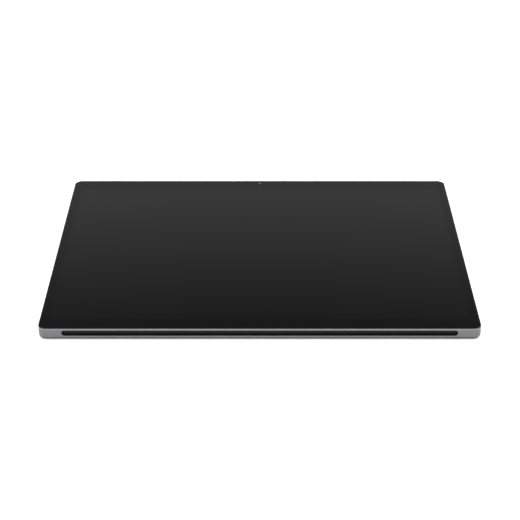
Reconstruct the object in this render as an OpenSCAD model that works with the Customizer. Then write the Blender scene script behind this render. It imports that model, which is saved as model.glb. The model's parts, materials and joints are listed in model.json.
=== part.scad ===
// Tablet computer with a fold-out kickstand and a keyboard dock groove, lying on its back.
// +X runs along the long edges, -Y is the dock edge and +Z comes up through the glass.
// The origin is the middle of the back, on the plane that the tablet rests on. Millimetres.

/* [Body] */
// Width along the dock edge
body_w = 287; // [285:1:300]
// Depth from the dock edge to the camera edge
body_d = 208; // [208:1:220]
// Thickness from the back to the glass
body_t = 8.3; // [8.3:0.1:9.5]
// Corner radius seen from above
corner_r = 5.5; // [5:0.5:8]
// Radius of the rounded edge around the back
back_edge_r = 2.5; // [1.5:0.1:2.6]
// Width of the chamfer around the glass
chamfer_w = 0.1; // [0.1:0.05:0.3]
// Height of the chamfer around the glass
chamfer_h = 0.8; // [0.3:0.05:0.8]
// Width of the rim around the glass, chamfer included
rim_w = 0.45; // [0.45:0.05:1.2]
// Thickness of the three plain walls
wall = 2.4; // [2.2:0.1:2.6]
// Thickness of the wall that holds the dock groove
dock_wall = 4.2; // [4.2:0.1:4.8]
// Thickness of the back
floor_t = 1; // [0.9:0.1:1]

/* [Glass and display] */
// Thickness of the cover glass
glass_t = 0.7; // [0.5:0.05:0.7]
// Gap between the cover glass and the rim
glass_gap = 0.1; // [0.1:0.05:0.2]
// Width of the lit part of the display
active_w = 274.3; // [240:0.1:274.5]
// Depth of the lit part of the display
active_d = 182.9; // [160:0.1:184]

/* [Dock groove] */
// Length of the groove
dock_len = 256; // [240:1:260]
// Height of the groove
dock_tall = 4; // [3:0.1:4]
// Depth of the pocket in the wall
dock_depth = 1.8; // [1.2:0.1:1.8]
// Height of the middle of the groove above the back
dock_z = 5.25; // [5.2:0.05:5.3]
// Number of contacts in the middle of the groove
dock_contact_count = 6; // [4:1:8]

/* [Kickstand] */
// Width of the kickstand
stand_w = 273; // [250:1:273]
// Distance of the hinge line from the middle of the back
hinge_y = 8; // [6:1:9]
// Width of the rim left below the kickstand
stand_rim = 6; // [5.5:0.5:10]
// Thickness of the kickstand
stand_t = 0.85; // [0.7:0.05:0.85]
// How far the kickstand sits in from the back
stand_inset = 0.1; // [0.05:0.05:0.1]
// Gap around the kickstand
stand_gap = 0.15; // [0.1:0.05:0.3]
// Distance of each hinge from the middle
hinge_x = 95; // [94:1:96]

/* [Buttons] */
// Middle of the power button along the camera edge
power_x = -118; // [-120:1:-116]
// Middle of the volume rocker along the camera edge
volume_x = -92; // [-93:1:-91]
// Length of the power button
power_len = 12; // [8:1:14]
// Length of the volume rocker
volume_len = 24; // [20:1:26]
// How far the buttons stand out
button_proud = 0.4; // [0.3:0.05:0.6]

/* [Ports] */
// Height of the middle of the ports above the back
port_z = 4.2; // [4:0.05:4.2]
// Place of the upper data port along the right edge
usb_upper_y = 38; // [36:1:40]
// Place of the lower data port along the right edge
usb_lower_y = 22; // [20:1:24]
// Place of the charging slot along the right edge
charge_y = -14; // [-16:1:-12]
// Place of the audio jack along the left edge
jack_y = 40; // [37:1:42]
// Radius of the audio jack's bore
jack_bore_r = 1.8; // [1.76:0.01:1.85]
// Place of the card tray along the left edge
tray_y = 15; // [14:1:18]

/* [Hidden] */
$fn = 64;
small_fn = 24;                              // circles under a millimetre across
cut = 1;                                    // how far a cutter runs past the face it opens
slack = 0.05;                               // gap around a piece that is fixed in its hole

metal = [0.42, 0.42, 0.43];
black = [0.06, 0.06, 0.07];
board_green = [0.08, 0.2, 0.16];
gold = [0.85, 0.68, 0.3];
film = [0.6, 0.4, 0.12];

// Heights of the layers, from the back up
stand_roof = stand_inset + stand_t + stand_gap;      // roof of the kickstand's recess
stand_top = stand_inset + stand_t;
step_z = stand_roof + 0.8;                           // inner floor above the kickstand
board_z = 2.4;
board_t = 0.8;
board_top = board_z + board_t;
cooling_z = 4.25;
back_plate_z = 5.95;
panel_z = 6.3;
touch_z = 7.45;
glass_z = body_t - glass_t;
adhesive_t = 0.1;
ledge_z = glass_z - adhesive_t;

// Faces of the walls and the cavity between them
right_face = body_w / 2;
top_face = body_d / 2;
cavity_x = right_face - wall;
cavity_top = top_face - wall;
cavity_bottom = dock_wall - top_face;
cavity_d = cavity_top - cavity_bottom;
cavity_mid = (cavity_top + cavity_bottom) / 2;
glass_size = [body_w - 2 * (rim_w + glass_gap), body_d - 2 * (rim_w + glass_gap), glass_t];
glass_r = corner_r - rim_w - glass_gap;

// Display stack
panel_size = [active_w + 4, active_d + 5, touch_z - panel_z];
touch_size = [active_w + 3, active_d + 3, glass_z - touch_z];
plate_size = [panel_size.x, panel_size.y, panel_z - back_plate_z];
plate_dimple = [60, 40, 0.15];
display_board_size = [90, 9, 0.5];
display_board_at = [65, 86, back_plate_z - display_board_size.z];
display_plug = [12, 5, 0.35];
cable_w = 18;
cable_at = 70;
cable_t = 0.2;
cable_route = [[88, 5.2], [78, 5.2], [73, 3.7], [68, 3.7]];

// Kickstand and hinges. The arcs turn about a line on the plane of the back
stand_end = stand_rim - top_face;
stand_len = hinge_y - stand_gap - stand_end;
stand_r = 4;
notch_r = 10;                               // finger notches beside the kickstand
notch_y = stand_end + 26;
notch_in = 6;
step_end = hinge_y + 7;                     // the raised inner floor ends here
rail_r = [2.2, 2.6];                        // tongues that guide the arcs
rail_out = 0.8;
rail_gap = 0.1;
arc_r = [1.6, 3.2];                         // body of a leaf
bridge_r = [3.3, 3.9];                      // band that joins the two halves of a link
leaf_half = 4;                              // half widths along the hinge line
link_half = 7;
bracket_half = 10;
leaf_turn = [50, 165];                      // where the arcs start and end, in degrees from +Y
link_turn = [42, 165];
leaf_foot = [18, 4.6, 0.5];
leaf_foot_y = -4.7;                         // the foot lies beyond this, clear of the bracket
leaf_neck_len = 3.8;
neck_room = 1.65;                           // links and brackets stay above this at the neck
flange_size = [32, 16.1, 0.8];
flange_y = -3.45;
bracket_y = [-4.5, 4.6];
bracket_z = [1.2, 4.7];
hinge_window = [-9.6, 4.7];
screw_r = 0.6;
screw_head = [1.3, 0.5];                    // radius and height
socket_r = 0.5;
socket_fn = 6;
bracket_screws = [[-13, -8], [13, -8], [-13, 1.5], [13, 1.5]];

// Cameras, sensors, antennas and sound
rear_lens_at = [0, 84];
rear_hole_r = 4.6;
rear_window_r = 3.55;
rear_barrel_r = 3;
rear_camera_size = [9, 9, 3.7];
rear_camera_z = 1.45;
front_y = cavity_top - 2.2;                 // middle of the pieces along the far edge
front_camera_size = [8, 4, 3];
front_barrel = [1.55, 0.6];
front_barrel_out = 0.6;                     // how far the barrel lies beyond the block's middle
light_sensor_size = [3, 2, 2.4];
light_sensor_x = 22;
camera_bar = [96, 3.8, 0.5];
camera_bar_z = 3.4;
sensor_z = camera_bar_z + camera_bar.z;
mic_size = [4, 3, 1.1];
mic_x = 42;
mic_hole_r = 0.5;
mic_hole_z = sensor_z + 0.6;
antenna_window = [50, 8, floor_t];
antenna_flange = [54, 11, 0.3];
antenna_size = [46, 6, 0.3];
antenna_plug = [4, 3, 0.55];
antenna_at = [87, top_face - 9.5];
speaker_size = [22, 44, 3.2];
speaker_at = [cavity_x - 11.7, 71, floor_t + 0.2];
driver = [8, 0.4];
grille = [26, 1];
grille_y = 69;
mesh_t = 0.3;
mesh_pitch = 1.5;
mesh_hole_r = 0.45;

// Boards, chips and cooling
board_size = [184, 61, board_t];
board_at = [22, 46.5, board_z];
tail_size = [42, 46, board_t];
tail_at = [55, -6, board_z];
board_posts = [[-64, 22], [-64, 71], [108, 22], [108, 71], [39, -22], [71, -22]];
post_r = 2.2;
processor_at = [10, 45, board_top];
processor_size = [34, 26, 0.5];
die_sizes = [[14, 11, 1], [9, 8, 1]];
die_x = [4, 20];
memory_size = [12, 12, 0.9];
memory_at = [[44, 36, board_top], [44, 54, board_top]];
shield_size = [30, 20, 1];
shield_t = 0.2;
shields_at = [[-44, 40, board_top], [82, 34, board_top], [82, 56, board_top]];
wireless_size = [14, 12, 1];
wireless_at = [-44, 62, board_top];
aerial_plug = [0.9, 0.6];
aerial_board = [9, 12, 0.3];
spreader_size = [150, 34, 0.4];
pipe_size = [140, 8, 1];
cooling_at = [22, 45, cooling_z];

// Battery and storage
cell_d = 80;
cell_t = 3.2;
cell_y = -54;
cell_z = step_z + 0.1;
cell_w = [70, 70, 40];
cell_x = [-101, -29, 110];
battery_board_size = [136, 5, 0.8];
battery_board_at = [-62, -11, 2.8];
battery_plug = [8, 3, 0.9];
battery_cable_size = [12, 24, 0.6];
battery_cable_at = [-11, 3.5, 3.7];
cable_plug = [14, 5, 1];
cable_plug_y = 18;
ssd_x = 60;
ssd_size = [22, 30, 0.8];
ssd_y = -47.5;
ssd_z = 2.6;
ssd_chip = [16, 18, 1];
socket_size = [24, 5.5, 2];
socket_y = -32.25;
socket_slot = [22.2, 3, 1];
door_size = [30, 45, 0.45];
door_at = [ssd_x, -51.5, stand_roof + slack];
door_r = 2;
door_opening = [26, 35, step_z];
door_opening_y = -48.5;
door_screw_at = [ssd_x, -70];
door_screw = [0.7, 1.9];
door_head = [1.4, 0.23];
door_boss = [2, 1.6];

// Ports
jack_z = 3.6;
jack_wall = 0.45;
jack_len = 14;
jack_end = 0.8;
jack_face = 0.4 - right_face;
jack_block = [12.2, 6.4, 3.2];
usb_size = [8.94, 3.2];
usb_wall = 0.3;
usb_depth = 7.6;
usb_face = right_face - 0.2;
usb_tongue = [5.6, 6.7, 0.7];
port_board_size = [12, 38, 0.5];
port_board_at = [129, 30, 2.05];
charge_size = [24, 2.6];
charge_wall = 0.6;
charge_depth = 2;
charge_block = [5, 28, 3.2];
charge_pin = [0.45, 4.2];
charge_pitch = 2.6;
tray_face = [15, 2.2];
tray_size = [18.4, 13.2, 0.8];
tray_card = [12.3, 8.8];
eject_r = 0.45;
reader_size = [19.4, 16, 3];
reader_slot = [13.8, 1.2];

// Dock and buttons
trim_wall = 0.4;
strip_t = 0.4;
contact_r = 0.5;
contact_pitch = 3.2;
contact_in = 0.2;                           // how far the contacts lie behind the strip's face
magnet_size = [18, 1.9, 3];
magnet_x = [for (i = [0:3]) 30 + 25 * i];
dock_board_size = [26, 0.6, 3];
button_z = 4.9;
button_tall = 2.4;
button_gap = 0.25;
button_flange = [2, 1.2, 0.5];              // extra length, extra height and thickness
power_flange_gap = 0.15;
volume_flange_gap = 0.4;
plunger_r = 0.8;
plunger_gap = 0.5;
volume_plungers = [-8, 8];
switch_size = [3.5, 1.1, 2.6];
switch_y = cavity_top - 2.6;                // face of the button switches
button_board_size = [52, 0.5, 3.2];
button_board_x = -102;

// Shapes that repeat

// Flat rounded rectangle about its middle
module rounded_rect(w, d, r) {
    square([w - 2 * r, d], center = true);
    square([w, d - 2 * r], center = true);
    for (x = [-1, 1], y = [-1, 1])
        translate([x * (w / 2 - r), y * (d / 2 - r)]) circle(r);
}

// Flat slot with round ends, long in the first direction
module slot_shape(len, tall) {
    square([len - tall, tall], center = true);
    for (side = [-1, 1]) translate([side * (len - tall) / 2, 0]) circle(tall / 2);
}

// Upright block that stands at its own height, with optional rounded corners
module block(size, at, r = 0) {
    translate(at) linear_extrude(size.z)
        if (r > 0) rounded_rect(size.x, size.y, r);
        else square([size.x, size.y], center = true);
}

// Upright block with round ends
module slot_block(size, at) { translate(at) linear_extrude(size.z) slot_shape(size.x, size.y); }

// Block given by its middle
module centred(size, at) { translate(at) cube(size, center = true); }

// Upright cylinder from its foot
module post(r, h, at) { translate(at) cylinder(h = h, r = r); }

// Turns a flat (y, z) shape into a solid along X, centred on its place
module along_x(len) { rotate([90, 0, 90]) linear_extrude(len, center = true) children(); }

// Turns a flat (x, z) shape into a solid along Y, centred on its place
module along_y(len) { rotate([90, 0, 0]) linear_extrude(len, center = true) children(); }

module both_sides() { for (side = [0, 1]) mirror([side, 0, 0]) children(); }

// Screws with a hexagon socket: shank radius and length, head radius and height, head's foot
module screw(shank, head, at) {
    difference() {
        union() {
            post(shank[0], shank[1], [at.x, at.y, at.z - shank[1] + slack]);
            post(head[0], head[1], at);
        }
        post(socket_r, head[1], [at.x, at.y, at.z + head[1] / 2], $fn = socket_fn);
    }
}

// Section of the body from its middle out to half: round at the back, chamfered at the rim
module half_section(half) {
    polygon([[0, back_edge_r], [half, back_edge_r], [half, body_t - chamfer_h],
             [half - chamfer_w, body_t], [0, body_t]]);
    square([half - back_edge_r, back_edge_r]);
    translate([half - back_edge_r, back_edge_r]) circle(back_edge_r);
}

module full_section(half) {
    half_section(half);
    mirror([1, 0]) half_section(half);
}

module body_slab() {
    along_x(body_w - 2 * corner_r) full_section(body_d / 2);
    along_y(body_d - 2 * corner_r) full_section(body_w / 2);
    for (x = [-1, 1], y = [-1, 1])
        translate([x * (body_w / 2 - corner_r), y * (body_d / 2 - corner_r), 0])
            rotate_extrude() half_section(corner_r);
}

// Flat ring sector about the hinge line, between two radii and two angles from +Y
module ring_sector(r, turn) {
    reach = 2 * r[1];
    steps = 4;
    intersection() {
        difference() {
            circle(r[1]);
            circle(r[0]);
        }
        polygon(concat([[0, 0]], [for (i = [0:steps])
            let (a = turn[0] + (turn[1] - turn[0]) * i / steps) [reach * cos(a), reach * sin(a)]]));
    }
}

// The same, cut off flat above a height
module hinge_arc(r, turn, low) {
    half = 2 * r[1];
    difference() {
        ring_sector(r, turn);
        translate([-half, -half]) square([2 * half, half + low]);
    }
}

// Grooves that the tongues of the next arc run in
module rail_groove(half) {
    along_x(2 * (half + rail_out + 0.15)) difference() {
        circle(rail_r[1] + rail_gap);
        circle(rail_r[0] - rail_gap);
    }
}

// Room for the neck that joins a leaf's arcs to its foot
module neck_slot() {
    reach = 2 * bridge_r[1];
    along_x(2 * (leaf_half + 0.3)) translate([-reach, -reach]) square([reach, reach + neck_room]);
}

module at_hinges() { for (side = [-1, 1]) translate([side * hinge_x, hinge_y, 0]) children(); }

// Housing

module cavity() {
    block([2 * cavity_x, cavity_d, body_t], [0, cavity_mid, step_z], corner_r - wall);
    upper_d = cavity_top - step_end;
    block([2 * cavity_x, upper_d, body_t], [0, step_end + upper_d / 2, floor_t], corner_r - wall);
}

module stand_recess() {
    w = stand_w + 2 * stand_gap;
    len = stand_len + 2 * stand_gap;
    depth = stand_roof + cut;
    block([w, len, depth], [0, hinge_y - len / 2, -cut], stand_r);
    block([w, len / 2, depth], [0, hinge_y - len / 4, -cut]);
    both_sides() post(notch_r, depth, [w / 2 - notch_in, notch_y, -cut]);
}

module hinge_windows() {
    w = 2 * bracket_half + 0.4;
    at_hinges() {
        translate([-w / 2, hinge_window[0], floor_t])
            cube([w, hinge_window[1] - hinge_window[0], step_z]);
        translate([-w / 2, hinge_window[0], -cut]) cube([w, -hinge_window[0], step_z]);
        for (p = bracket_screws) post(screw_r + slack, step_z, [p.x, p.y, stand_roof + 0.3]);
    }
}

module magnet_blocks(extra) {
    for (side = [-1, 1], x = magnet_x)
        centred([magnet_size.x + 2 * extra, magnet_size.y + 2 * extra, magnet_size.z + 2 * extra],
                [side * x, cavity_bottom - magnet_size.y / 2 - 0.02, dock_z]);
}

module dock_contact_rods(r, y_start, y_end) {
    first = -(dock_contact_count - 1) / 2 * contact_pitch;
    for (i = [0:dock_contact_count - 1])
        translate([first + i * contact_pitch, y_start, dock_z])
            rotate([-90, 0, 0]) cylinder(h = y_end - y_start, r = r);
}

module dock_cuts() {
    translate([0, -top_face, dock_z]) along_y(2 * dock_depth) slot_shape(dock_len, dock_tall);
    magnet_blocks(0.1);
    dock_contact_rods(contact_r + slack, -top_face, cavity_bottom + cut);
}

module wall_openings() {
    through = 2 * wall + cut;
    for (b = [[power_x, power_len], [volume_x, volume_len]])
        translate([b[0], top_face, button_z]) along_y(through)
            slot_shape(b[1] + 2 * button_gap, button_tall + 2 * button_gap);
    for (x = [-mic_x, mic_x]) translate([x, top_face, mic_hole_z]) along_y(through) circle(mic_hole_r);
    for (side = [-1, 1]) translate([side * right_face, grille_y, port_z]) along_x(through)
        slot_shape(grille[0], grille[1]);
    for (y = [usb_upper_y, usb_lower_y]) translate([right_face, y, port_z]) along_x(through)
        slot_shape(usb_size[0] + 2 * slack, usb_size[1] + 2 * slack);
    translate([right_face, charge_y, port_z]) along_x(through)
        slot_shape(charge_size[0] + 2 * slack, charge_size[1] + 2 * slack);
    translate([-right_face, jack_y, jack_z]) along_x(through) circle(jack_bore_r + jack_wall + slack);
    translate([-right_face, tray_y, port_z]) along_x(through)
        slot_shape(tray_face[0] + 2 * stand_gap, tray_face[1] + 2 * stand_gap);
}

module back_openings() {
    post(rear_hole_r, floor_t + 2 * cut, [rear_lens_at.x, rear_lens_at.y, -cut]);
    for (side = [-1, 1])
        slot_block([antenna_window.x + 2 * slack, antenna_window.y + 2 * slack, floor_t + 2 * cut],
                   [side * antenna_at.x, antenna_at.y, -cut]);
    block([door_size.x + 4 * slack, door_size.y + 4 * slack, door_size.z + 2 * slack],
          [door_at.x, door_at.y, stand_roof - slack], door_r);
    block(door_opening, [ssd_x, door_opening_y, stand_roof], door_r);
    post(door_screw[0] + slack, 3, [door_screw_at.x, door_screw_at.y, stand_roof]);
}

module inner_posts() {
    sunk = 0.2;
    for (p = board_posts) {
        foot = (p.y > step_end ? floor_t : step_z) - sunk;
        post(post_r, board_z - foot, [p.x, p.y, foot]);
    }
    post(door_boss[0], door_boss[1], [door_screw_at.x, door_screw_at.y, step_z - sunk]);
}

module rear_housing() {
    color(metal) difference() {
        union() {
            difference() {
                body_slab();
                block([body_w - 2 * rim_w, body_d - 2 * rim_w, glass_t + cut], [0, 0, ledge_z],
                      corner_r - rim_w);
                cavity();
                stand_recess();
            }
            inner_posts();
        }
        hinge_windows();
        dock_cuts();
        wall_openings();
        back_openings();
        for (p = board_posts) post(screw_r + slack, board_z, [p.x, p.y, board_z - 1]);
    }
}

// Glass and display

module cover_glass() { color(black) block(glass_size, [0, 0, glass_z], glass_r); }

module glass_adhesive() {
    color("black") difference() {
        block([glass_size.x, glass_size.y, adhesive_t], [0, 0, ledge_z], glass_r);
        block([2 * cavity_x - 0.4, cavity_d - 0.4, adhesive_t + 2 * cut],
              [0, cavity_mid, ledge_z - cut], corner_r - wall);
    }
}

module touch_film() { color([0.1, 0.1, 0.12]) block(touch_size, [0, 0, touch_z]); }

module display_panel() { color([0.09, 0.09, 0.11]) block(panel_size, [0, 0, panel_z], 1); }

module display_back_plate() {
    color("silver") difference() {
        block(plate_size, [0, 0, back_plate_z], 1);
        for (x = [-90, 0, 90], y = [-50, 20])
            block([plate_dimple.x, plate_dimple.y, cut + plate_dimple.z], [x, y, back_plate_z - cut], 4);
    }
}

module display_board() {
    color(board_green) {
        block(display_board_size, display_board_at);
        for (side = [-1, 1])
            block(display_plug, [display_board_at.x + side * 30, display_board_at.y,
                                 display_board_at.z - display_plug.z]);
    }
}

module display_cable() {
    under = [for (i = [len(cable_route) - 1:-1:0]) cable_route[i]];
    color(film) translate([cable_at, 0, 0]) {
        along_x(cable_w) polygon(concat([for (p = cable_route) [p.x, p.y + cable_t]], under));
        block([cable_w, 4, cable_route[3].y - board_top], [0, cable_route[3].x + 2, board_top + 0.02]);
    }
}

// Cameras, sensors, microphones and speakers

module front_camera() {
    color("black") {
        block(front_camera_size, [0, front_y, sensor_z], 0.4);
        post(front_barrel[0], front_barrel[1],
             [0, front_y + front_barrel_out, sensor_z + front_camera_size.z]);
    }
}

module light_sensor() { color("black") block(light_sensor_size, [light_sensor_x, front_y, sensor_z]); }

module camera_bracket() {
    color("silver") difference() {
        block(camera_bar, [0, front_y, camera_bar_z]);
        for (x = [-34, -14, 14, 34])
            slot_block([10, 1.6, camera_bar.z + 2 * cut], [x, front_y, camera_bar_z - cut]);
    }
}

module microphones() {
    color(gold) for (side = [-1, 1])
        block(mic_size, [side * mic_x, cavity_top - 0.2 - mic_size.y / 2, sensor_z], 0.3);
}

module rear_camera_ring() {
    color("black") translate([rear_lens_at.x, rear_lens_at.y, slack]) difference() {
        cylinder(h = rear_camera_z - 2 * slack, r = rear_hole_r - slack);
        translate([0, 0, -cut]) cylinder(h = cut + 0.85, r = rear_window_r + slack);
        translate([0, 0, -cut]) cylinder(h = cut + 2, r = rear_barrel_r + 2 * slack);
    }
}

module rear_camera_window() {
    color([0.05, 0.05, 0.08]) post(rear_window_r, 0.6, [rear_lens_at.x, rear_lens_at.y, 0.25]);
}

module rear_camera() {
    color("black") {
        block(rear_camera_size, [rear_lens_at.x, rear_lens_at.y, rear_camera_z], 0.6);
        post(rear_barrel_r, 0.5, [rear_lens_at.x, rear_lens_at.y, rear_camera_z - 0.5]);
    }
}

module speaker_box() {
    color("black") difference() {
        union() {
            block(speaker_size, speaker_at, 2);
            post(driver[0], speaker_size.z + driver[1], [speaker_at.x, speaker_at.y + 8, speaker_at.z]);
        }
        translate([speaker_at.x + speaker_size.x / 2, grille_y, port_z]) along_x(6)
            slot_shape(grille[0], grille[1] - 0.2);
    }
}

module speaker_right() { speaker_box(); }

module speaker_left() { mirror([1, 0, 0]) speaker_box(); }

module speaker_meshes() {
    holes = floor(grille[0] / mesh_pitch / 2);
    color([0.15, 0.15, 0.15]) both_sides() translate([cavity_x - 0.2, grille_y, port_z])
        difference() {
            along_x(mesh_t) slot_shape(grille[0] + 3, grille[1] + 1.6);
            for (i = [-holes:holes])
                translate([0, i * mesh_pitch, 0]) along_x(2) circle(mesh_hole_r, $fn = small_fn);
        }
}

// Battery

module battery_cell(i) {
    color([0.25, 0.25, 0.28]) block([cell_w[i], cell_d, cell_t], [cell_x[i], cell_y, cell_z], 2);
}

module battery_cell_left() { battery_cell(0); }

module battery_cell_middle() { battery_cell(1); }

module battery_cell_right() { battery_cell(2); }

module battery_board() {
    color(board_green) {
        block(battery_board_size, battery_board_at);
        plug_z = battery_board_at.z + battery_board_size.z - slack;
        for (x = [-110, -38]) block(battery_plug, [x, battery_board_at.y, plug_z]);
    }
}

module battery_cable() {
    color("black") {
        block(battery_cable_size, battery_cable_at, 0.5);
        block(cable_plug, [battery_cable_at.x, cable_plug_y, board_top + 0.02], 0.5);
    }
}

// Boards and cooling

module mainboard() {
    color(board_green) difference() {
        union() {
            block(board_size, board_at, 2);
            block(tail_size, tail_at, 2);
        }
        for (p = board_posts) post(screw_r + 0.3, board_t + 2 * cut, [p.x, p.y, board_z - cut]);
    }
}

module processor() {
    color("darkgreen") {
        block(processor_size, processor_at);
        for (i = [0, 1]) block(die_sizes[i], [die_x[i], processor_at.y, board_top]);
    }
}

module memory_chips() { color("black") for (at = memory_at) block(memory_size, at, 0.3); }

module board_shields() {
    color("silver") for (at = shields_at) difference() {
        block(shield_size, at, 1);
        block([shield_size.x - 2 * shield_t, shield_size.y - 2 * shield_t,
               cut + shield_size.z - shield_t], [at.x, at.y, at.z - cut], 1 - shield_t);
    }
}

module wireless_module() {
    board_x = wireless_at.x + wireless_size.x / 2 + aerial_board.x / 2 - 0.5;
    color("silver") {
        block(wireless_size, wireless_at, 0.5);
        block(aerial_board, [board_x, wireless_at.y, wireless_at.z], 0.5);
        for (side = [-1, 1])
            post(aerial_plug[0], aerial_plug[1], [board_x, wireless_at.y + side * 3, wireless_at.z]);
    }
}

module heat_spreader() { color("peru") block(spreader_size, cooling_at, 3); }

module heat_pipe() {
    color("chocolate") slot_block(pipe_size, [cooling_at.x, cooling_at.y, cooling_z + spreader_size.z]);
}

module board_screws() {
    color("silver") for (p = board_posts) screw([screw_r, 1.6], screw_head, [p.x, p.y, board_top + 0.02]);
}

module ssd_card() {
    color(board_green) {
        block(ssd_size, [ssd_x, ssd_y, ssd_z]);
        block(ssd_chip, [ssd_x, ssd_y + 1, ssd_z + ssd_size.z - slack]);
    }
}

module ssd_socket() {
    color("black") difference() {
        block(socket_size, [ssd_x, socket_y, ssd_z - 0.5]);
        block(socket_slot, [ssd_x, socket_y - 1.75, ssd_z - 2 * slack]);
    }
}

module ssd_door() {
    color(metal) difference() {
        block(door_size, door_at, door_r);
        translate([door_screw_at.x, door_screw_at.y, door_at.z - cut]) {
            cylinder(h = 2 * cut + door_size.z, r = door_screw[0] + 2 * slack);
            cylinder(h = cut + door_head[1] + slack, r = door_head[0] + 2 * slack);
        }
    }
}

module ssd_door_screw() {
    color("silver") translate([door_screw_at.x, door_screw_at.y, door_at.z + 0.01]) difference() {
        union() {
            cylinder(h = door_head[1], r = door_head[0]);
            cylinder(h = door_screw[1], r = door_screw[0]);
        }
        translate([0, 0, -cut]) cylinder(h = cut + 0.6, r = socket_r - slack, $fn = socket_fn);
    }
}

// Ports

module audio_jack() {
    color("black") difference() {
        union() {
            translate([jack_face, jack_y, jack_z]) rotate([0, 90, 0])
                cylinder(h = jack_len, r = jack_bore_r + jack_wall);
            centred(jack_block, [0.1 - cavity_x + jack_block.x / 2, jack_y, jack_z]);
        }
        translate([jack_face - cut, jack_y, jack_z]) rotate([0, 90, 0])
            cylinder(h = cut + jack_len - jack_end, r = jack_bore_r);
    }
}

module usb_port(y) {
    color("silver") translate([usb_face - usb_depth / 2, y, port_z]) {
        difference() {
            along_x(usb_depth) slot_shape(usb_size[0], usb_size[1]);
            translate([3 * usb_wall, 0, 0]) along_x(usb_depth)
                slot_shape(usb_size[0] - 2 * usb_wall, usb_size[1] - 2 * usb_wall);
        }
        centred(usb_tongue, [-0.5, 0, 0]);
    }
}

module usb_port_upper() { usb_port(usb_upper_y); }

module usb_port_lower() { usb_port(usb_lower_y); }

module port_board() { color(board_green) block(port_board_size, port_board_at, 1); }

module charge_rods(extra) {
    for (i = [-2:2]) translate([right_face - 6, charge_y + charge_pitch * i, port_z])
        rotate([0, 90, 0]) cylinder(h = charge_pin[1] + extra, r = charge_pin[0] + extra);
}

module charge_port() {
    color("black") difference() {
        union() {
            translate([right_face - 2.2, charge_y, port_z]) along_x(4)
                slot_shape(charge_size[0], charge_size[1]);
            centred(charge_block, [cavity_x - 0.1 - charge_block.x / 2, charge_y, port_z]);
        }
        translate([right_face, charge_y, port_z]) along_x(2 * charge_depth)
            slot_shape(charge_size[0] - 2 * charge_wall, charge_size[1] - 2 * charge_wall);
        charge_rods(0.02);
    }
}

module charge_contacts() { color(gold) charge_rods(0); }

module card_reader() {
    color("silver") translate([0.3 - cavity_x + reader_size.x / 2, tray_y, port_z]) difference() {
        cube(reader_size, center = true);
        centred([reader_size.x + slack, reader_slot[0], reader_slot[1]], [-cut, 0, 0]);
    }
}

module card_tray() {
    face_t = wall;
    color(metal) translate([0.1 - right_face, tray_y, port_z]) difference() {
        union() {
            translate([face_t / 2, 0, 0]) along_x(face_t) slot_shape(tray_face[0], tray_face[1]);
            centred(tray_size, [face_t - 0.5 + tray_size.x / 2, 0, 0]);
        }
        centred([tray_card[0], tray_card[1], 2 * cut], [wall + 2.9 + tray_card[0] / 2, 0, 0]);
        translate([0, tray_face[0] / 2 - 1.3, 0]) along_x(8) circle(eject_r, $fn = small_fn);
    }
}

// Keyboard dock

// Black lining of the groove: a strip above, a strip below and a cap around each end
module dock_groove_trim() {
    depth = dock_depth - strip_t - slack;
    tall = dock_tall - slack;
    straight = dock_len - dock_tall;
    color(black) translate([0, slack - top_face + depth / 2, dock_z]) {
        for (side = [-1, 1])
            centred([straight, depth, trim_wall], [0, 0, side * (tall - trim_wall) / 2]);
        both_sides() translate([straight / 2 + 0.02, 0, 0]) along_y(depth) difference() {
            circle(tall / 2);
            circle(tall / 2 - trim_wall);
            translate([-tall, -tall]) square([tall, 2 * tall]);
        }
    }
}

module dock_contact_strip() {
    color(black) difference() {
        translate([0, dock_depth - top_face - strip_t / 2, dock_z]) along_y(strip_t - 0.02)
            slot_shape(dock_len - slack, dock_tall - slack);
        dock_contact_rods(contact_r + 0.02, -top_face, cavity_bottom);
    }
}

module dock_contacts() {
    color(black)
        dock_contact_rods(contact_r, dock_depth - top_face - strip_t + contact_in, cavity_bottom + 0.1);
}

module dock_magnets() { color("silver") magnet_blocks(0); }

module dock_board() {
    color(board_green) centred(dock_board_size, [0, cavity_bottom + 0.1 + dock_board_size.y / 2, dock_z]);
}

// Antennas

module antenna_windows() {
    color([0.12, 0.12, 0.13]) for (side = [-1, 1]) {
        slot_block(antenna_window, [side * antenna_at.x, antenna_at.y, 0]);
        block(antenna_flange, [side * antenna_at.x, antenna_at.y, floor_t], 2);
    }
}

module antennas() {
    foot = floor_t + antenna_flange.z + slack;
    color(film) for (side = [-1, 1]) {
        block(antenna_size, [side * antenna_at.x, antenna_at.y, foot]);
        block(antenna_plug, [side * (antenna_at.x - 19), antenna_at.y, foot + antenna_size.z - slack]);
    }
}

// Buttons

// A button with its face out of the wall, a flange behind the wall and plungers behind that
module edge_button(x, len, flange_gap, plungers) {
    back_y = cavity_top - flange_gap;
    face_y = top_face + button_proud;
    foot_y = switch_y + plunger_gap;
    translate([x, (back_y + face_y) / 2, button_z]) along_y(face_y - back_y)
        slot_shape(len, button_tall);
    translate([x, back_y - button_flange[2] / 2, button_z]) along_y(button_flange[2])
        slot_shape(len + button_flange[0], button_tall + button_flange[1]);
    for (p = plungers) translate([x + p, (foot_y + back_y) / 2, button_z])
        along_y(back_y - foot_y) circle(plunger_r);
}

module power_button() { color(metal) edge_button(power_x, power_len, power_flange_gap, [0]); }

module volume_rocker() {
    color(metal) edge_button(volume_x, volume_len, volume_flange_gap, volume_plungers);
}

module button_board() {
    color(film) centred(button_board_size,
                        [button_board_x, switch_y - switch_size.y - button_board_size.y / 2, button_z]);
}

module button_switches() {
    color("silver") for (x = concat([power_x], [for (p = volume_plungers) volume_x + p]))
        centred(switch_size, [x, switch_y - switch_size.y / 2, button_z]);
}

// Kickstand and its hinges

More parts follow.
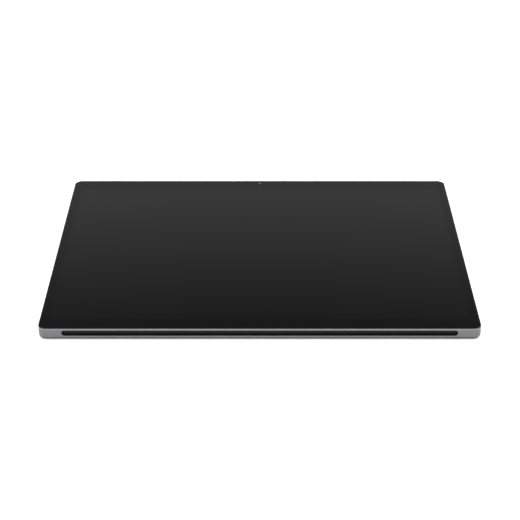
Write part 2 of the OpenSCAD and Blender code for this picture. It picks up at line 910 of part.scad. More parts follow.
module kickstand() {
    mid = (hinge_y - stand_gap + stand_end) / 2;
    color(metal) {
        block([stand_w, stand_len, stand_t], [0, mid, stand_inset], stand_r);
        block([stand_w, stand_len / 2, stand_t], [0, mid + stand_len / 4, stand_inset]);
    }
}

// Arcs fixed to the kickstand, which slide inside the links
module hinge_leaves() {
    color("gray") at_hinges() {
        along_x(2 * leaf_half) hinge_arc(arc_r, leaf_turn, stand_top);
        along_x(2 * (leaf_half + rail_out)) hinge_arc(rail_r, leaf_turn, stand_top);
        block(leaf_foot, [0, leaf_foot_y - leaf_foot.y / 2, stand_top]);
        block([2 * leaf_half, leaf_neck_len, leaf_foot.z],
              [0, leaf_foot_y + leaf_neck_len / 2 - 0.3, stand_top]);
    }
}

// Arcs between the leaves and the brackets, which turn half as far as the kickstand
module hinge_links() {
    low = stand_top + 2 * slack;
    color("silver") at_hinges() difference() {
        union() {
            along_x(2 * link_half) hinge_arc([arc_r[0], bridge_r[1]], link_turn, low);
            along_x(2 * (link_half + rail_out)) hinge_arc(rail_r, link_turn, low);
        }
        along_x(2 * (leaf_half + 0.1)) circle(bridge_r[0]);
        rail_groove(leaf_half);
        neck_slot();
    }
}

// Blocks screwed to the inner floor, with the arc grooves that carry the links
module hinge_brackets() {
    color("gray") at_hinges() difference() {
        union() {
            translate([-bracket_half, bracket_y[0], bracket_z[0]])
                cube([2 * bracket_half, bracket_y[1] - bracket_y[0], bracket_z[1] - bracket_z[0]]);
            block(flange_size, [0, flange_y, step_z]);
        }
        along_x(2 * (link_half + 0.1)) circle(bridge_r[1] + 0.15);
        rail_groove(link_half);
        neck_slot();
        for (p = bracket_screws) post(screw_r + 2 * slack, 3, [p.x, p.y, step_z - cut]);
    }
}

module hinge_screws() {
    color("silver") at_hinges() for (p = bracket_screws)
        screw([screw_r, 1.1], screw_head, [p.x, p.y, step_z + flange_size.z + 0.02]);
}

rear_housing();
cover_glass();
glass_adhesive();
touch_film();
display_panel();
display_back_plate();
display_board();
display_cable();
front_camera();
light_sensor();
camera_bracket();
microphones();
rear_camera_ring();
rear_camera_window();
rear_camera();
speaker_left();
speaker_right();
speaker_meshes();
battery_cell_left();
battery_cell_middle();
battery_cell_right();
battery_board();
battery_cable();
mainboard();
processor();
memory_chips();
board_shields();
wireless_module();
heat_spreader();
heat_pipe();
board_screws();
ssd_card();
ssd_socket();
ssd_door();
ssd_door_screw();
audio_jack();
usb_port_upper();
usb_port_lower();
port_board();
charge_port();
charge_contacts();
dock_groove_trim();
dock_contact_strip();
dock_contacts();
dock_magnets();
dock_board();
antenna_windows();
antennas();
card_reader();
button_board();
button_switches();
hinge_brackets();
hinge_screws();
kickstand();
hinge_leaves();
hinge_links();
power_button();
volume_rocker();
card_tray();
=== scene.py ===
import json
import math

import bmesh
import bpy
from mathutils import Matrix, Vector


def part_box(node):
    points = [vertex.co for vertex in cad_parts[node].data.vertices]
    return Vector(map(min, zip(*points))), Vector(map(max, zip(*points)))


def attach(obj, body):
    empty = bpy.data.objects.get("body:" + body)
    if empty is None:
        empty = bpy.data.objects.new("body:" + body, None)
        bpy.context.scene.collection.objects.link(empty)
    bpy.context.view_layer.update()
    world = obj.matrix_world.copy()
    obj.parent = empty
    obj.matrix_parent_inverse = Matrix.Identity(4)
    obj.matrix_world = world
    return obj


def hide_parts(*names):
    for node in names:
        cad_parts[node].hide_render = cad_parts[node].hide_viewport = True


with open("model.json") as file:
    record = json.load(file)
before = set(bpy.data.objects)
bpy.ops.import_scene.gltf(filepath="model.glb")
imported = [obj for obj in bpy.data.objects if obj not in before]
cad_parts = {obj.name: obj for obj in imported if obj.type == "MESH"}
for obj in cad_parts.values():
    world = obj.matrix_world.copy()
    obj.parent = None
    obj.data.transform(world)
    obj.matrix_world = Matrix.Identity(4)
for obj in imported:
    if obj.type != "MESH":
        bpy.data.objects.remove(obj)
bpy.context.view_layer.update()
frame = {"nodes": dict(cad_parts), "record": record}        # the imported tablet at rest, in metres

nodes = frame["nodes"]
scene = bpy.context.scene
mm = 0.001
print("tablet loaded:", len(nodes), "nodes")


# Shaders: a socket that Python's own signs work on, so that masks and patterns read as sums.
# Places on the surface are in millimetres.

class Wire:
    def __init__(self, tree, socket=None):
        self.tree = tree
        self.socket = socket

    def make(self, kind, settings, sockets, out=0):
        node = self.tree.nodes.new("ShaderNode" + kind)
        for name, value in settings.items():
            if name == "stops":
                fillRamp(node.color_ramp, value)
            else:
                setattr(node, name, value)
        for name, value in sockets.items():
            if isinstance(value, Wire):
                self.tree.links.new(value.socket, node.inputs[name])
            else:
                node.inputs[name].default_value = value
        return Wire(self.tree, node.outputs[out])

    def sum(self, operation, *values):
        return self.make("Math", {"operation": operation}, dict(enumerate(values)))

    def __add__(self, other):
        return self.sum("ADD", self, other)

    def __radd__(self, other):
        return self.sum("ADD", other, self)

    def __sub__(self, other):
        return self.sum("SUBTRACT", self, other)

    def __rsub__(self, other):
        return self.sum("SUBTRACT", other, self)

    def __mul__(self, other):
        return self.sum("MULTIPLY", self, other)

    def __truediv__(self, other):
        return self.sum("DIVIDE", self, other)

    def __mod__(self, other):
        return self.sum("FLOORED_MODULO", self, other)

    def __abs__(self):
        return self.sum("ABSOLUTE", self)

    def axes(self):
        first = self.make("SeparateXYZ", {}, {0: self})
        outs = first.socket.node.outputs
        return [Wire(self.tree, outs[i]) for i in range(3)]

    def times(self, factors):
        return self.make("VectorMath", {"operation": "MULTIPLY"}, {0: self, 1: factors})

    def minus(self, spot):
        return self.make("VectorMath", {"operation": "SUBTRACT"}, {0: self, 1: spot})

    def length(self):
        return self.make("VectorMath", {"operation": "LENGTH"}, {0: self}, out="Value")

    def noise(self, perMm, detail=2.0, roughness=0.5, warp=0.0):
        return self.make("TexNoise", {}, {"Vector": self, "Scale": perMm, "Detail": detail,
                                          "Roughness": roughness, "Distortion": warp})

    def cells(self, perMm, feature="F1", distance="EUCLIDEAN", out="Distance"):
        settings = {"feature": feature}
        if feature != "DISTANCE_TO_EDGE":
            settings["distance"] = distance
        return self.make("TexVoronoi", settings, {"Vector": self, "Scale": perMm}, out=out)

    def fade(self, low, high, start=0.0, end=1.0):
        return self.make("MapRange", {"interpolation_type": "SMOOTHSTEP"},
                         {0: self, 1: low, 2: high, 3: start, 4: end})

    def within(self, centre, half, soft):
        return abs(self - centre).fade(half - soft, half + soft, 1.0, 0.0)

    def blend(self, low, high):
        return self.make("Mix", {"data_type": "RGBA"}, {0: self, 6: low, 7: high}, out=2)

    def bump(self, depth):
        return self.make("Bump", {}, {"Height": self, "Distance": depth * mm, "Strength": 1.0})


def fillRamp(ramp, stops):
    for element in list(ramp.elements)[1:]:
        ramp.elements.remove(element)
    ramp.elements[0].position = stops[0][0]
    ramp.elements[0].color = stops[0][1]
    for position, colour in stops[1:]:
        ramp.elements.new(position).color = colour


def grey(level):
    return (level, level, level, 1.0)


def tint(colour, factor):
    return tuple(min(1.0, c * factor) for c in colour[:3]) + (1.0,)


def startMaterial(name):
    material = bpy.data.materials.new(name)
    material.use_nodes = True
    tree = material.node_tree
    tree.nodes.clear()
    output = tree.nodes.new("ShaderNodeOutputMaterial")
    shader = tree.nodes.new("ShaderNodeBsdfPrincipled")
    tree.links.new(shader.outputs[0], output.inputs[0])
    wire = Wire(tree)
    place = wire.make("TexCoord", {}, {}, out="Object").times((1 / mm,) * 3)
    return material, shader, place


def setShader(shader, sockets):
    for name, value in sockets.items():
        if isinstance(value, Wire):
            value.tree.links.new(value.socket, shader.inputs[name])
        else:
            shader.inputs[name].default_value = value


# Metals

anodised = {
    "colour": (0.138, 0.139, 0.142), "roughness": 0.44,
    "cutColour": (0.184, 0.185, 0.189), "cutRoughness": 0.27, "cutSoft": 0.02,
    # painted shade on the shell's back rounding: how dark it goes, the height in mm up to which it is
    # full, and where it ends
    "paintedShadeTone": 0.38, "paintedShadeFull": 1.1, "paintedShadeEnd": 2.5,
    "cloudPerMm": 0.035, "blastPerMm": 7.0, "blastDepth": 0.0035,
    "wearPerMm": 0.22, "wear": 0.07,
}


def anodisedMetal(name, cutAbove=None):
    s = anodised
    material, shader, place = startMaterial(name)
    z = place.axes()[2]
    cloud = place.noise(s["cloudPerMm"], 3)
    blast = place.noise(s["blastPerMm"], 2, 0.6)
    handled = place.noise(s["wearPerMm"], 5, 0.6).fade(0.58, 0.74)
    shade = cloud * 0.5 + blast * 0.5
    colour = shade.blend(tint(s["colour"], 0.94), tint(s["colour"], 1.06))
    colour = (handled * s["wear"]).blend(colour, tint(s["colour"], 1.8))
    roughness = s["roughness"] + (cloud - 0.5) * 0.08 - handled * 0.05
    if cutAbove is not None:             # the shell: painted shade round its back edge, machined at the rim
        # painted shade: the colour darkens near the back face and fades out up the rounding, standing
        # in for the shade on that edge
        turned = z.fade(s["paintedShadeFull"], s["paintedShadeEnd"], 1.0, 0.0) * z.fade(0.02, 0.2)
        colour = turned.blend(colour, tint(s["colour"], s["paintedShadeTone"]))
        cut = z.fade(cutAbove - s["cutSoft"], cutAbove + s["cutSoft"])
        lines = place.times((1, 1, 14)).noise(2.0, 2)
        machined = lines.blend(tint(s["cutColour"], 0.93), tint(s["cutColour"], 1.07))
        colour = cut.blend(colour, machined)
        roughness = roughness * (1 - cut) + (s["cutRoughness"] + (lines - 0.5) * 0.08) * cut
    setShader(shader, {"Base Color": colour, "Metallic": 1.0, "Roughness": roughness,
                       "Normal": blast.bump(s["blastDepth"])})
    return material


def brushedMetal(name, colour, roughness, grain=(0.6, 14, 14), specks=0.0, depth=0.003):
    material, shader, place = startMaterial(name)
    streaks = place.times(grain).noise(1.0, 3, 0.55)
    cloud = place.noise(0.12, 2)
    marks = place.cells(1.4).fade(0.16, 0.05) * place.noise(0.5).fade(0.5, 0.6)
    shade = (streaks * 0.7 + cloud * 0.3).blend(tint(colour, 0.82), tint(colour, 1.15))
    shade = (marks * specks).blend(shade, tint(colour, 0.35))
    setShader(shader, {"Base Color": shade, "Metallic": 1.0,
                       "Roughness": roughness + (streaks - 0.5) * 0.16 + marks * specks * 0.3,
                       "Normal": streaks.bump(depth)})
    return material


def turnedMetal(name, colour, roughness, centre, pitch=0.12):
    material, shader, place = startMaterial(name)
    away = place.minus((centre[0] / mm, centre[1] / mm, 0)).times((1, 1, 0)).length()
    groove = abs((away % pitch) / pitch - 0.5) * 2
    cloud = place.noise(0.9, 3)
    shade = (cloud * 0.6 + groove * 0.4).blend(tint(colour, 0.8), tint(colour, 1.2))
    setShader(shader, {"Base Color": shade, "Metallic": 1.0,
                       "Roughness": roughness + (cloud - 0.5) * 0.1,
                       "Normal": groove.bump(0.004)})
    return material


copper = {"colour": (0.72, 0.36, 0.22), "tarnish": (0.32, 0.16, 0.10)}


def copperSheet(name):
    s = copper
    material, shader, place = startMaterial(name)
    streaks = place.times((0.5, 9, 9)).noise(1.0, 3)
    patches = place.noise(0.11, 5, 0.65, 0.8).fade(0.45, 0.68)
    bright = streaks.blend(tint(s["colour"], 0.88), tint(s["colour"], 1.12))
    setShader(shader, {"Base Color": (patches * 0.75).blend(bright, tint(s["tarnish"], 1.0)),
                       "Metallic": 1.0, "Roughness": 0.26 + streaks * 0.1 + patches * 0.22,
                       "Normal": streaks.bump(0.003)})
    return material


pouch = {"colour": (0.30, 0.30, 0.315), "edgeColour": (0.44, 0.44, 0.45)}


def pouchFoil(name):
    s = pouch
    material, shader, place = startMaterial(name)
    creases = place.noise(0.09, 2, 0.5, 1.6).fade(0.42, 0.58)
    crackle = place.cells(0.16, "DISTANCE_TO_EDGE").fade(0.0, 0.11)
    fine = place.noise(2.6, 3)
    wrinkle = creases * 0.5 + crackle * 0.35 + fine * 0.15
    setShader(shader, {"Base Color": wrinkle.blend(tint(s["edgeColour"], 1.0), tint(s["colour"], 1.0)),
                       "Metallic": 0.85, "Roughness": 0.34 + (1 - crackle) * 0.12 + fine * 0.06,
                       "Normal": wrinkle.bump(0.09)})
    return material


# Glass and lenses

frontGlass = {
    "bezel": (0.0016, 0.0016, 0.0017), "panel": (0.0017, 0.0017, 0.0019), "panelGloss": 0.14,
    "lit": (274.3, 182.9), "edgeSoft": 0.06, "roughness": 0.045, "smudge": 0.05,
}


def displayGlass(name):
    s = frontGlass
    material, shader, place = startMaterial(name)
    x, y, z = place.axes()
    lit = x.within(0.0, s["lit"][0] / 2, s["edgeSoft"]) * y.within(0.0, s["lit"][1] / 2, s["edgeSoft"])
    cloud = place.noise(0.02, 3)
    panel = cloud.blend(tint(s["panel"], 0.94), tint(s["panel"], 1.06))
    wipes = place.times((0.03, 0.16, 1)).noise(1.0, 4, 0.6, 1.2).fade(0.5, 0.8)
    ridges = place.times((2.2, 1.1, 1)).noise(1.0, 2, 0.5, 2.5)
    prints = place.noise(0.045, 3, 0.6).fade(0.6, 0.7) * ridges
    setShader(shader, {"Base Color": lit.blend(tint(s["bezel"], 1.0), panel), "IOR": 1.5,
                       "Coat Weight": lit * s["panelGloss"],
                       "Roughness": s["roughness"] + (wipes * 0.6 + prints * 0.4) * s["smudge"]})
    return material


lens = {"print": (0.004, 0.004, 0.005), "barrel": (0.012, 0.012, 0.014),
        "coating": (0.035, 0.018, 0.075), "middle": (0.012, 0.03, 0.055), "gloss": 0.04}


def lensGlass(name, centre, domeRadius, printRadius):
    s = lens
    material, shader, place = startMaterial(name)
    away = place.minus((centre[0] / mm, centre[1] / mm, 0)).times((1, 1, 0)).length()
    coated = away.fade(0.0, domeRadius).blend(tint(s["middle"], 1.0), tint(s["coating"], 1.0))
    ridges = abs((away % 0.14) / 0.14 - 0.5) * 2
    barrel = ridges.blend(tint(s["barrel"], 0.6), tint(s["barrel"], 1.6))
    onBarrel = away.fade(domeRadius - 0.01, domeRadius + 0.01)
    onPrint = away.fade(printRadius - 0.01, printRadius + 0.01)
    colour = onPrint.blend(onBarrel.blend(coated, barrel), tint(s["print"], 1.0))
    dust = place.noise(6.0, 2).fade(0.66, 0.75)
    matt = onBarrel * (1 - onPrint)
    setShader(shader, {"Base Color": colour, "Roughness": 0.03 + matt * 0.4 + dust * 0.04,
                       "IOR": 1.38, "Coat Weight": (1 - matt) * s["gloss"]})
    return material


def panelFilm(name, colour):
    material, shader, place = startMaterial(name)
    x, y, z = place.axes()
    grid = abs((x % 0.8) / 0.8 - 0.5).fade(0.42, 0.5) + abs((y % 0.8) / 0.8 - 0.5).fade(0.42, 0.5)
    sheen = place.noise(0.03, 3, 0.5, 1.0)
    shade = sheen.blend(tint(colour, 0.8), tint((colour[0] * 0.9, colour[1], colour[2] * 1.5), 1.2))
    setShader(shader, {"Base Color": (grid * 0.25).blend(shade, grey(0.09)),
                       "Roughness": 0.12 + sheen * 0.08, "Coat Weight": 0.5})
    return material


# Plastics, foam and film

def mouldedPlastic(name, colour, roughness, grainPerMm=5.0, depth=0.006, gloss=0.5):
    material, shader, place = startMaterial(name)
    grain = place.noise(grainPerMm, 3, 0.6)
    flow = place.times((0.3, 1, 1)).noise(0.25, 3, 0.5, 0.6)
    scuffs = place.times((0.5, 6, 6)).noise(0.8, 3).fade(0.66, 0.8)
    shade = (grain * 0.5 + flow * 0.5).blend(tint(colour, 0.8), tint(colour, 1.2))
    setShader(shader, {"Base Color": (scuffs * 0.25).blend(shade, tint(colour, 2.4)),
                       "Roughness": roughness + (flow - 0.5) * 0.12 - scuffs * 0.06,
                       "Specular IOR Level": gloss, "Normal": grain.bump(depth)})
    return material


def adhesiveFoam(name, colour):
    material, shader, place = startMaterial(name)
    # the pores are painted darker: painted shade in the hollows that the bump sinks
    pores = place.cells(3.5).fade(0.1, 0.45)
    cloud = place.noise(0.3, 3)
    shade = (pores * 0.6 + cloud * 0.4).blend(tint(colour, 0.4), tint(colour, 1.3))
    setShader(shader, {"Base Color": shade,
                       "Roughness": 0.85 + cloud * 0.1, "Specular IOR Level": 0.2,
                       "Normal": pores.bump(0.03)})
    return material


flex = {"film": (0.46, 0.26, 0.055), "trace": (0.62, 0.40, 0.14), "pitch": 0.6}


def flexFilm(name):
    s = flex
    material, shader, place = startMaterial(name)
    x, y, z = place.axes()
    bend = place.noise(0.08, 1).fade(0.45, 0.55) * 1.2
    tracks = abs(((x + bend) % s["pitch"]) / s["pitch"] - 0.5).fade(0.2, 0.26)
    cloud = place.noise(0.7, 3)
    film = cloud.blend(tint(s["film"], 0.85), tint(s["film"], 1.15))
    setShader(shader, {"Base Color": tracks.blend(tint(s["trace"], 1.0), film),
                       "Roughness": 0.3 + cloud * 0.12, "Coat Weight": 0.35,
                       "Normal": tracks.bump(0.02)})
    return material


board = {"mask": (0.012, 0.075, 0.055), "trace": (0.03, 0.14, 0.10), "pad": (0.80, 0.62, 0.28),
         "padEvery": 3.2, "viaEvery": 1.9}


def circuitBoard(name):
    s = board
    material, shader, place = startMaterial(name)
    flat = place.times((1, 1, 0))
    tracks = flat.cells(0.32, "SMOOTH_F1", "CHEBYCHEV")
    lines = abs((tracks % 0.13) / 0.13 - 0.5).fade(0.2, 0.28)
    blocks = flat.cells(1 / s["padEvery"], "F1", "CHEBYCHEV")
    pads = blocks.fade(0.12, 0.10) * flat.noise(0.06, 1).fade(0.5, 0.52)
    vias = flat.cells(1 / s["viaEvery"]).fade(0.12, 0.09)
    bare = pads + vias * (1 - pads)
    weave = abs((flat.axes()[0] % 0.5) / 0.5 - 0.5) + abs((flat.axes()[1] % 0.5) / 0.5 - 0.5)
    mask = lines.blend(tint(s["trace"], 1.0), weave.blend(tint(s["mask"], 0.9), tint(s["mask"], 1.1)))
    setShader(shader, {"Base Color": bare.blend(mask, tint(s["pad"], 1.0)), "Metallic": bare,
                       "Roughness": 0.33 + weave * 0.05, "Coat Weight": 0.3 - bare * 0.3,
                       "Normal": (lines * 0.6 - bare).bump(0.03)})
    return material


def wovenMesh(name, colour, pitch=0.25):
    material, shader, place = startMaterial(name)
    x, y, z = place.axes()
    warp = abs((y % pitch) / pitch - 0.5) * 2
    weft = abs((z % pitch) / pitch - 0.5) * 2
    hole = warp.fade(0.45, 0.7) * weft.fade(0.45, 0.7)
    wires = (1 - hole) * (0.6 + place.noise(2.0) * 0.4)
    # the openings between the wires are painted near black: painted shade in the holes of the mesh
    setShader(shader, {"Base Color": wires.blend(grey(0.002), tint(colour, 1.4)),
                       "Metallic": 0.6, "Roughness": 0.45 + hole * 0.4,
                       "Normal": wires.bump(0.05)})
    return material


port = {"steel": (0.52, 0.52, 0.535), "tongue": (0.012, 0.012, 0.013), "pad": (0.80, 0.60, 0.25),
        "tongueHalf": 0.36, "padPitch": 0.5, "padReach": 2.9}


def dataPort(name, centre):
    s = port
    material, shader, place = startMaterial(name)
    x, y, z = place.minus(tuple(c / mm for c in centre)).axes()
    tongue = z.within(0.0, s["tongueHalf"], 0.01) * y.within(0.0, s["padReach"] + 0.5, 0.01)
    stripes = abs((y % s["padPitch"]) / s["padPitch"] - 0.5).fade(0.24, 0.2)
    pads = tongue * stripes * y.within(0.0, s["padReach"], 0.02)
    streaks = place.times((8, 0.8, 8)).noise(1.0, 3)
    steel = streaks.blend(tint(s["steel"], 0.85), tint(s["steel"], 1.1))
    colour = pads.blend(tongue.blend(steel, tint(s["tongue"], 1.0)), tint(s["pad"], 1.0))
    setShader(shader, {"Base Color": colour, "Metallic": 1 - tongue * (1 - pads),
                       "Roughness": 0.28 + streaks * 0.12 + tongue * 0.1,
                       "Normal": streaks.bump(0.002)})
    return material


def middleOf(node):
    low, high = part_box(node)
    return (low + high) / 2


chamferHeight = 0.8
frontBarrelRadius = 1.55
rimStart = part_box("rear_housing")[1].z / mm - chamferHeight
rearLens = middleOf("rear_camera_window")
frontLens = middleOf("front_camera")
frontLens.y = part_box("front_camera")[1].y - frontBarrelRadius * mm     # at the far side of its block

finishes = {
    "housing_metal": anodisedMetal("anodised parts"),
    "display_glass": displayGlass("cover glass"),
    "lens_glass": lensGlass("rear lens", rearLens, 1.5, 2.15),
    "black_foam": adhesiveFoam("black adhesive", (0.02, 0.02, 0.021)),
    "panel_film": panelFilm("panel film", (0.03, 0.03, 0.036)),
    "bright_sheet": brushedMetal("stamped sheet", (0.56, 0.56, 0.57), 0.3, (9, 0.5, 9), 0.2),
    "circuit_board": circuitBoard("circuit board"),
    "flex_film": flexFilm("flexible circuit"),
    "black_plastic": mouldedPlastic("black moulding", (0.018, 0.018, 0.019), 0.48),
    "gold_contact": brushedMetal("gold plating", (0.80, 0.60, 0.25), 0.22, (6, 6, 1), 0.3, 0.002),
    "black_anodised": turnedMetal("turned black ring", (0.03, 0.03, 0.033), 0.32, rearLens),
    "dark_contact": brushedMetal("dark plating", (0.035, 0.035, 0.038), 0.4, (6, 1, 6), 0.2),
    "dark_mesh": wovenMesh("speaker mesh", (0.05, 0.05, 0.053)),
    "battery_foil": pouchFoil("battery foil"),
    "chip_black": mouldedPlastic("chip resin", (0.02, 0.02, 0.023), 0.36, 9.0, 0.004),
    "copper": copperSheet("bare copper"),
    "steel": brushedMetal("nickel steel", (0.48, 0.48, 0.49), 0.26, (5, 5, 5), 0.35),
    "groove_plastic": mouldedPlastic("groove moulding", (0.006, 0.006, 0.0062), 0.7, 6.0, 0.008, 0.04),
    "magnet_nickel": brushedMetal("plated magnet", (0.60, 0.58, 0.55), 0.16, (1.2, 1.2, 1.2), 0.5),
    "window_plastic": mouldedPlastic("aerial window", (0.062, 0.062, 0.065), 0.5, 6.0, 0.005),
    "hinge_steel": brushedMetal("hinge steel", (0.27, 0.27, 0.28), 0.34, (0.8, 10, 10), 0.25),
}
print("finishes made:", len(finishes))


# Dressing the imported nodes: a finish for each, and softened edges where the eye can reach

edgeWidths = {                               # millimetres
    "kickstand": 0.12, "power_button": 0.3, "volume_rocker": 0.3, "card_tray": 0.1,
    "ssd_door": 0.08, "ssd_door_screw": 0.04, "antenna_windows": 0.04,
    "front_camera": 0.08, "rear_camera": 0.2, "rear_camera_ring": 0.15,
    "usb_port_upper": 0.05, "usb_port_lower": 0.05, "charge_port": 0.08,
    "dock_groove_trim": 0.06, "dock_magnets": 0.15,
    "battery_cell_left": 0.5, "battery_cell_middle": 0.5, "battery_cell_right": 0.5,
    "heat_pipe": 0.3, "memory_chips": 0.05, "board_shields": 0.04,
    "speaker_left": 0.3, "speaker_right": 0.3,
}


def softenEdges(piece, width):
    weld = piece.modifiers.new("join", "WELD")
    weld.merge_threshold = 1e-6
    bevel = piece.modifiers.new("edges", "BEVEL")
    bevel.width = width
    bevel.segments = 3
    bevel.limit_method = "ANGLE"
    bevel.angle_limit = math.radians(35)
    bevel.harden_normals = True


def dressNodes():
    for part in frame["record"]["subparts"]:
        piece = nodes[part["node"]]
        piece.material_slots[0].material = finishes[part["material_slot"]]
        if part["node"] in edgeWidths:
            for face in piece.data.polygons:
                face.use_smooth = True
            softenEdges(piece, edgeWidths[part["node"]] * mm)
    for name in ("usb_port_upper", "usb_port_lower"):
        nodes[name].material_slots[0].material = dataPort(name + " finish", middleOf(name))
    # the shell's finish, which carries painted shade on its back rounding
    nodes["rear_housing"].material_slots[0].material = anodisedMetal("anodised shell", rimStart)
    grooveBack = mouldedPlastic("groove back", (0.012, 0.012, 0.0124), 0.55, 6.0, 0.008, 0.12)
    nodes["dock_contact_strip"].material_slots[0].material = grooveBack


dressNodes()
print("nodes dressed")


# Pieces made here: meshes from rings of points

def addPiece(name, mesh, finish):
    mesh.set_sharp_from_angle(angle=math.radians(30))        # this also makes every face smooth
    for face in mesh.polygons:
        face.use_smooth = abs(face.normal.z) < 0.9999    # flat faces stay flat up to their edges
    mesh.materials.append(finish)
    piece = bpy.data.objects.new(name, mesh)
    scene.collection.objects.link(piece)
    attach(piece, "tablet")
    return piece


def roundedLoop(halfX, halfY, radius, height, cornerSteps=10):
    points = []
    for turn, (sx, sy) in enumerate([(1, 1), (-1, 1), (-1, -1), (1, -1)]):
        for i in range(cornerSteps + 1):
            angle = math.pi / 2 * (turn + i / cornerSteps)
            points.append((sx * (halfX - radius) + radius * math.cos(angle),
                           sy * (halfY - radius) + radius * math.sin(angle), height))
    return points


def circleLoop(centre, radius, height, steps=48):
    turn = 2 * math.pi / steps
    return [(centre[0] + radius * math.cos(i * turn), centre[1] + radius * math.sin(i * turn), height)
            for i in range(steps)]


def stackLoops(bm, loops):
    rings = [[bm.verts.new(point) for point in loop] for loop in loops]
    for lower, upper in zip(rings, rings[1:]):
        for i, vert in enumerate(lower):
            after = (i + 1) % len(lower)
            bm.faces.new((vert, lower[after], upper[after], upper[i]))
    return rings


def fillBetween(bm, rings, up):
    edges = [bm.edges.get((ring[i - 1], ring[i])) for ring in rings for i in range(len(ring))]
    bmesh.ops.triangle_fill(bm, use_beauty=True, edges=edges, normal=(0, 0, up))


def meshFrom(bm, name):
    bmesh.ops.recalc_face_normals(bm, faces=bm.faces)
    mesh = bpy.data.meshes.new(name)
    bm.to_mesh(mesh)
    bm.free()
    return mesh


def latheMesh(name, centre, profile, steps=64):
    bm = bmesh.new()
    rings = []
    for radius, height in profile:
        if radius == 0:
            rings.append([bm.verts.new((centre[0], centre[1], height))])
        else:
            rings.append([bm.verts.new(point) for point in circleLoop(centre, radius, height, steps)])
    for lower, upper in zip(rings, rings[1:]):
        for i in range(steps):
            corners = [lower[i % len(lower)], lower[(i + 1) % len(lower)],
                       upper[(i + 1) % len(upper)], upper[i % len(upper)]]
            bm.faces.new(list(dict.fromkeys(corners)))
    return meshFrom(bm, name)


def domeProfile(radius, rim, top, steps=8):
    # from the rim in to the middle, along an arc of a circle
    rise = top - rim
    ball = (radius ** 2 + rise ** 2) / (2 * abs(rise))
    sign = 1 if rise > 0 else -1
    widest = math.asin(radius / ball)
    points = []
    for i in range(steps + 1):
        angle = widest * (1 - i / steps)
        points.append((ball * math.sin(angle) if i < steps else 0,
                       top - sign * ball * (1 - math.cos(angle))))
    return points


glass = {"cornerRadius": 4.95, "topRound": 0.22, "roundSteps": 5, "underBevel": 0.08,
         "cameraHole": 1.65, "sensorHole": 0.75, "holeBevel": 0.04}


def makeCoverGlass():
    s = glass
    low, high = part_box("cover_glass")
    halfX, halfY = high.x, high.y
    radius = s["cornerRadius"] * mm
    loops = [roundedLoop(halfX - s["underBevel"] * mm, halfY - s["underBevel"] * mm,
                         radius - s["underBevel"] * mm, low.z),
             roundedLoop(halfX, halfY, radius, low.z + s["underBevel"] * mm)]
    for i in range(s["roundSteps"] + 1):
        angle = math.pi / 2 * i / s["roundSteps"]
        inset = s["topRound"] * mm * (1 - math.cos(angle))
        height = high.z - s["topRound"] * mm * (1 - math.sin(angle))
        loops.append(roundedLoop(halfX - inset, halfY - inset, radius - inset, height))
    bm = bmesh.new()
    stacks = [stackLoops(bm, loops)]
    for centre, hole in ((frontLens, s["cameraHole"]), (middleOf("light_sensor"), s["sensorHole"])):
        wide = (hole + s["holeBevel"]) * mm
        stacks.append(stackLoops(bm, [circleLoop(centre, hole * mm, low.z),
                                      circleLoop(centre, hole * mm, high.z - s["holeBevel"] * mm),
                                      circleLoop(centre, wide, high.z)]))
    fillBetween(bm, [stack[-1] for stack in stacks], 1)
    fillBetween(bm, [stack[0] for stack in stacks], -1)
    mesh = meshFrom(bm, "coverGlass")
    piece = addPiece("coverGlass", mesh, finishes["display_glass"])
    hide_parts("cover_glass")


frontCamera = {"outer": 1.63, "shelf": 1.4, "barrel": 0.84, "dome": 0.78, "depth": 0.34, "thick": 0.66}


def makeFrontLens():
    s = frontCamera
    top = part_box("cover_glass")[1].z - 0.01 * mm
    at = lambda radius, drop: (radius * mm, top - drop * mm)
    profile = [at(s["shelf"], s["thick"]), at(s["outer"], s["thick"]), at(s["outer"], 0.04),
               at(s["outer"] - 0.04, 0.0), at(s["shelf"], 0.0), at(s["shelf"] - 0.03, 0.03),
               at(s["barrel"], s["depth"]), at(s["dome"], s["depth"])]
    profile += domeProfile(s["dome"] * mm, top - s["depth"] * mm, top - 0.06 * mm)[1:]
    finish = lensGlass("front lens", frontLens, s["dome"], s["shelf"])
    addPiece("frontCameraLens", latheMesh("frontCameraLens", frontLens, profile), finish)


sensorWindow = {"radius": 0.73, "thick": 0.62}


def makeSensorWindow():
    s = sensorWindow
    centre = middleOf("light_sensor")
    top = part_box("cover_glass")[1].z - 0.01 * mm
    profile = [(0, top - s["thick"] * mm), (s["radius"] * mm, top - s["thick"] * mm),
               (s["radius"] * mm, top - 0.04 * mm), ((s["radius"] - 0.04) * mm, top), (0, top)]
    finish = mouldedPlastic("sensor window", (0.010, 0.007, 0.014), 0.08, 3.0, 0.001)
    addPiece("lightSensorWindow", latheMesh("lightSensorWindow", centre, profile), finish)


rearCamera = {"outer": 3.5, "shelf": 2.15, "barrel": 1.6, "dome": 1.5, "depth": 0.42, "bevel": 0.06}


def makeRearLens():
    s = rearCamera
    low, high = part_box("rear_camera_window")
    at = lambda radius, rise: (radius * mm, low.z + rise * mm)
    thick = (high.z - low.z) / mm
    profile = [(0, high.z), at(s["outer"], thick), at(s["outer"], s["bevel"]),
               at(s["outer"] - s["bevel"], 0.0), at(s["shelf"], 0.0), at(s["shelf"] - 0.03, 0.03),
               at(s["barrel"], s["depth"]), at(s["dome"], s["depth"])]
    profile += domeProfile(s["dome"] * mm, low.z + s["depth"] * mm, low.z + 0.08 * mm)[1:]
    mesh = latheMesh("rearCameraLens", rearLens, profile)
    piece = addPiece("rearCameraLens", mesh, finishes["lens_glass"])
    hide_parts("rear_camera_window")


makeCoverGlass()
makeFrontLens()
makeSensorWindow()
makeRearLens()
print("glass and lenses made")


# Studio: a white table with a faint glow, a dome that is bright at the horizon and overhead and
# dim between, and a camera in front of the dock edge. The table keeps level with the kickstand's
# free edge, so that an open kickstand stands on it. Bands are degrees above the horizon with
# their brightness; from the last dim one up to the next, the gain comes in as well.

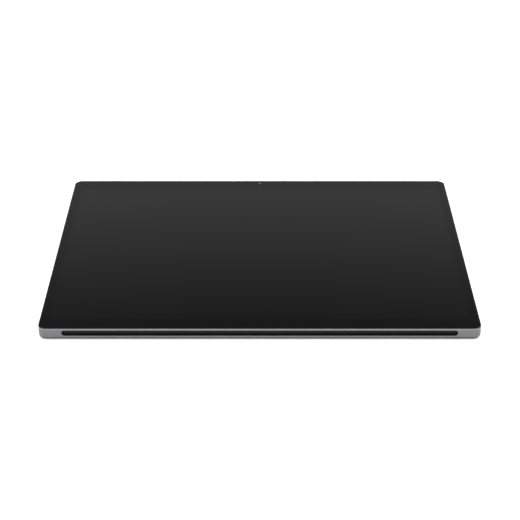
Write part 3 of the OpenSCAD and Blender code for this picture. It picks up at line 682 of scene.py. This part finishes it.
studio = {
    "floorHalf": 9.0, "floorColour": 0.8, "floorGap": 0.02, "floorGlow": 0.25,
    "bands": [(0, 1.0), (12, 1.0), (26.5, 0.33), (28.2, 0.33), (33.6, 0.092), (42, 0.092),
              (52, 0.7), (90, 0.7)],
    "gain": 6.0, "gainFrom": 42, "gainFull": 52,
    "cameraSpot": (0.0002, -0.8042, 0.4766), "cameraDown": 30.742, "cameraLens": 90.47,
}


def makeFloor():
    s = studio
    level = bpy.data.objects.new("standEdge", None)
    level.location = (0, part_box("kickstand")[0].y, 0)
    scene.collection.objects.link(level)
    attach(level, "kickstand")
    mesh = bpy.data.meshes.new("floor")
    half = s["floorHalf"]
    drop = -s["floorGap"] * mm
    corners = [(x * half, y * half, drop) for x, y in ((-1, -1), (1, -1), (1, 1), (-1, 1))]
    mesh.from_pydata(corners, [], [(0, 1, 2, 3)])
    material, shader, place = startMaterial("white table")
    fibres = place.noise(0.4, 4, 0.6)
    paper = fibres.blend(grey(s["floorColour"] - 0.01), grey(s["floorColour"] + 0.01))
    setShader(shader, {"Base Color": paper, "Roughness": 0.9, "Specular IOR Level": 0.1,
                       "Emission Color": grey(1.0), "Emission Strength": s["floorGlow"]})
    mesh.materials.append(material)
    floor = bpy.data.objects.new("floor", mesh)
    scene.collection.objects.link(floor)
    follow = floor.constraints.new("COPY_LOCATION")
    follow.target = level
    follow.use_x = False
    follow.use_y = False


def makeLight():
    s = studio
    world = bpy.data.worlds.new("studio")
    scene.world = world
    world.use_nodes = True
    tree = world.node_tree
    tree.nodes.clear()
    output = tree.nodes.new("ShaderNodeOutputWorld")
    sky = Wire(tree).make("TexCoord", {}, {}, out="Generated")
    height = sky.axes()[2]                               # sine of the angle above the horizon
    sine = lambda degrees: math.sin(math.radians(degrees))
    stops = [(sine(angle), grey(brightness)) for angle, brightness in s["bands"]]
    level = height.make("ValToRGB", {"stops": stops}, {0: height})
    high = height.fade(sine(s["gainFrom"]), sine(s["gainFull"]), 1.0, s["gain"])
    background = level.make("Background", {}, {"Color": level, "Strength": high})
    tree.links.new(background.socket, output.inputs["Surface"])


def makeCamera():
    s = studio
    data = bpy.data.cameras.new("camera")
    data.lens = s["cameraLens"]
    camera = bpy.data.objects.new("camera", data)
    camera.location = s["cameraSpot"]
    camera.rotation_euler = (math.radians(90 - s["cameraDown"]), 0, 0)
    scene.collection.objects.link(camera)
    scene.camera = camera


makeFloor()
makeLight()
makeCamera()
scene.view_settings.view_transform = "Standard"
print("studio set")
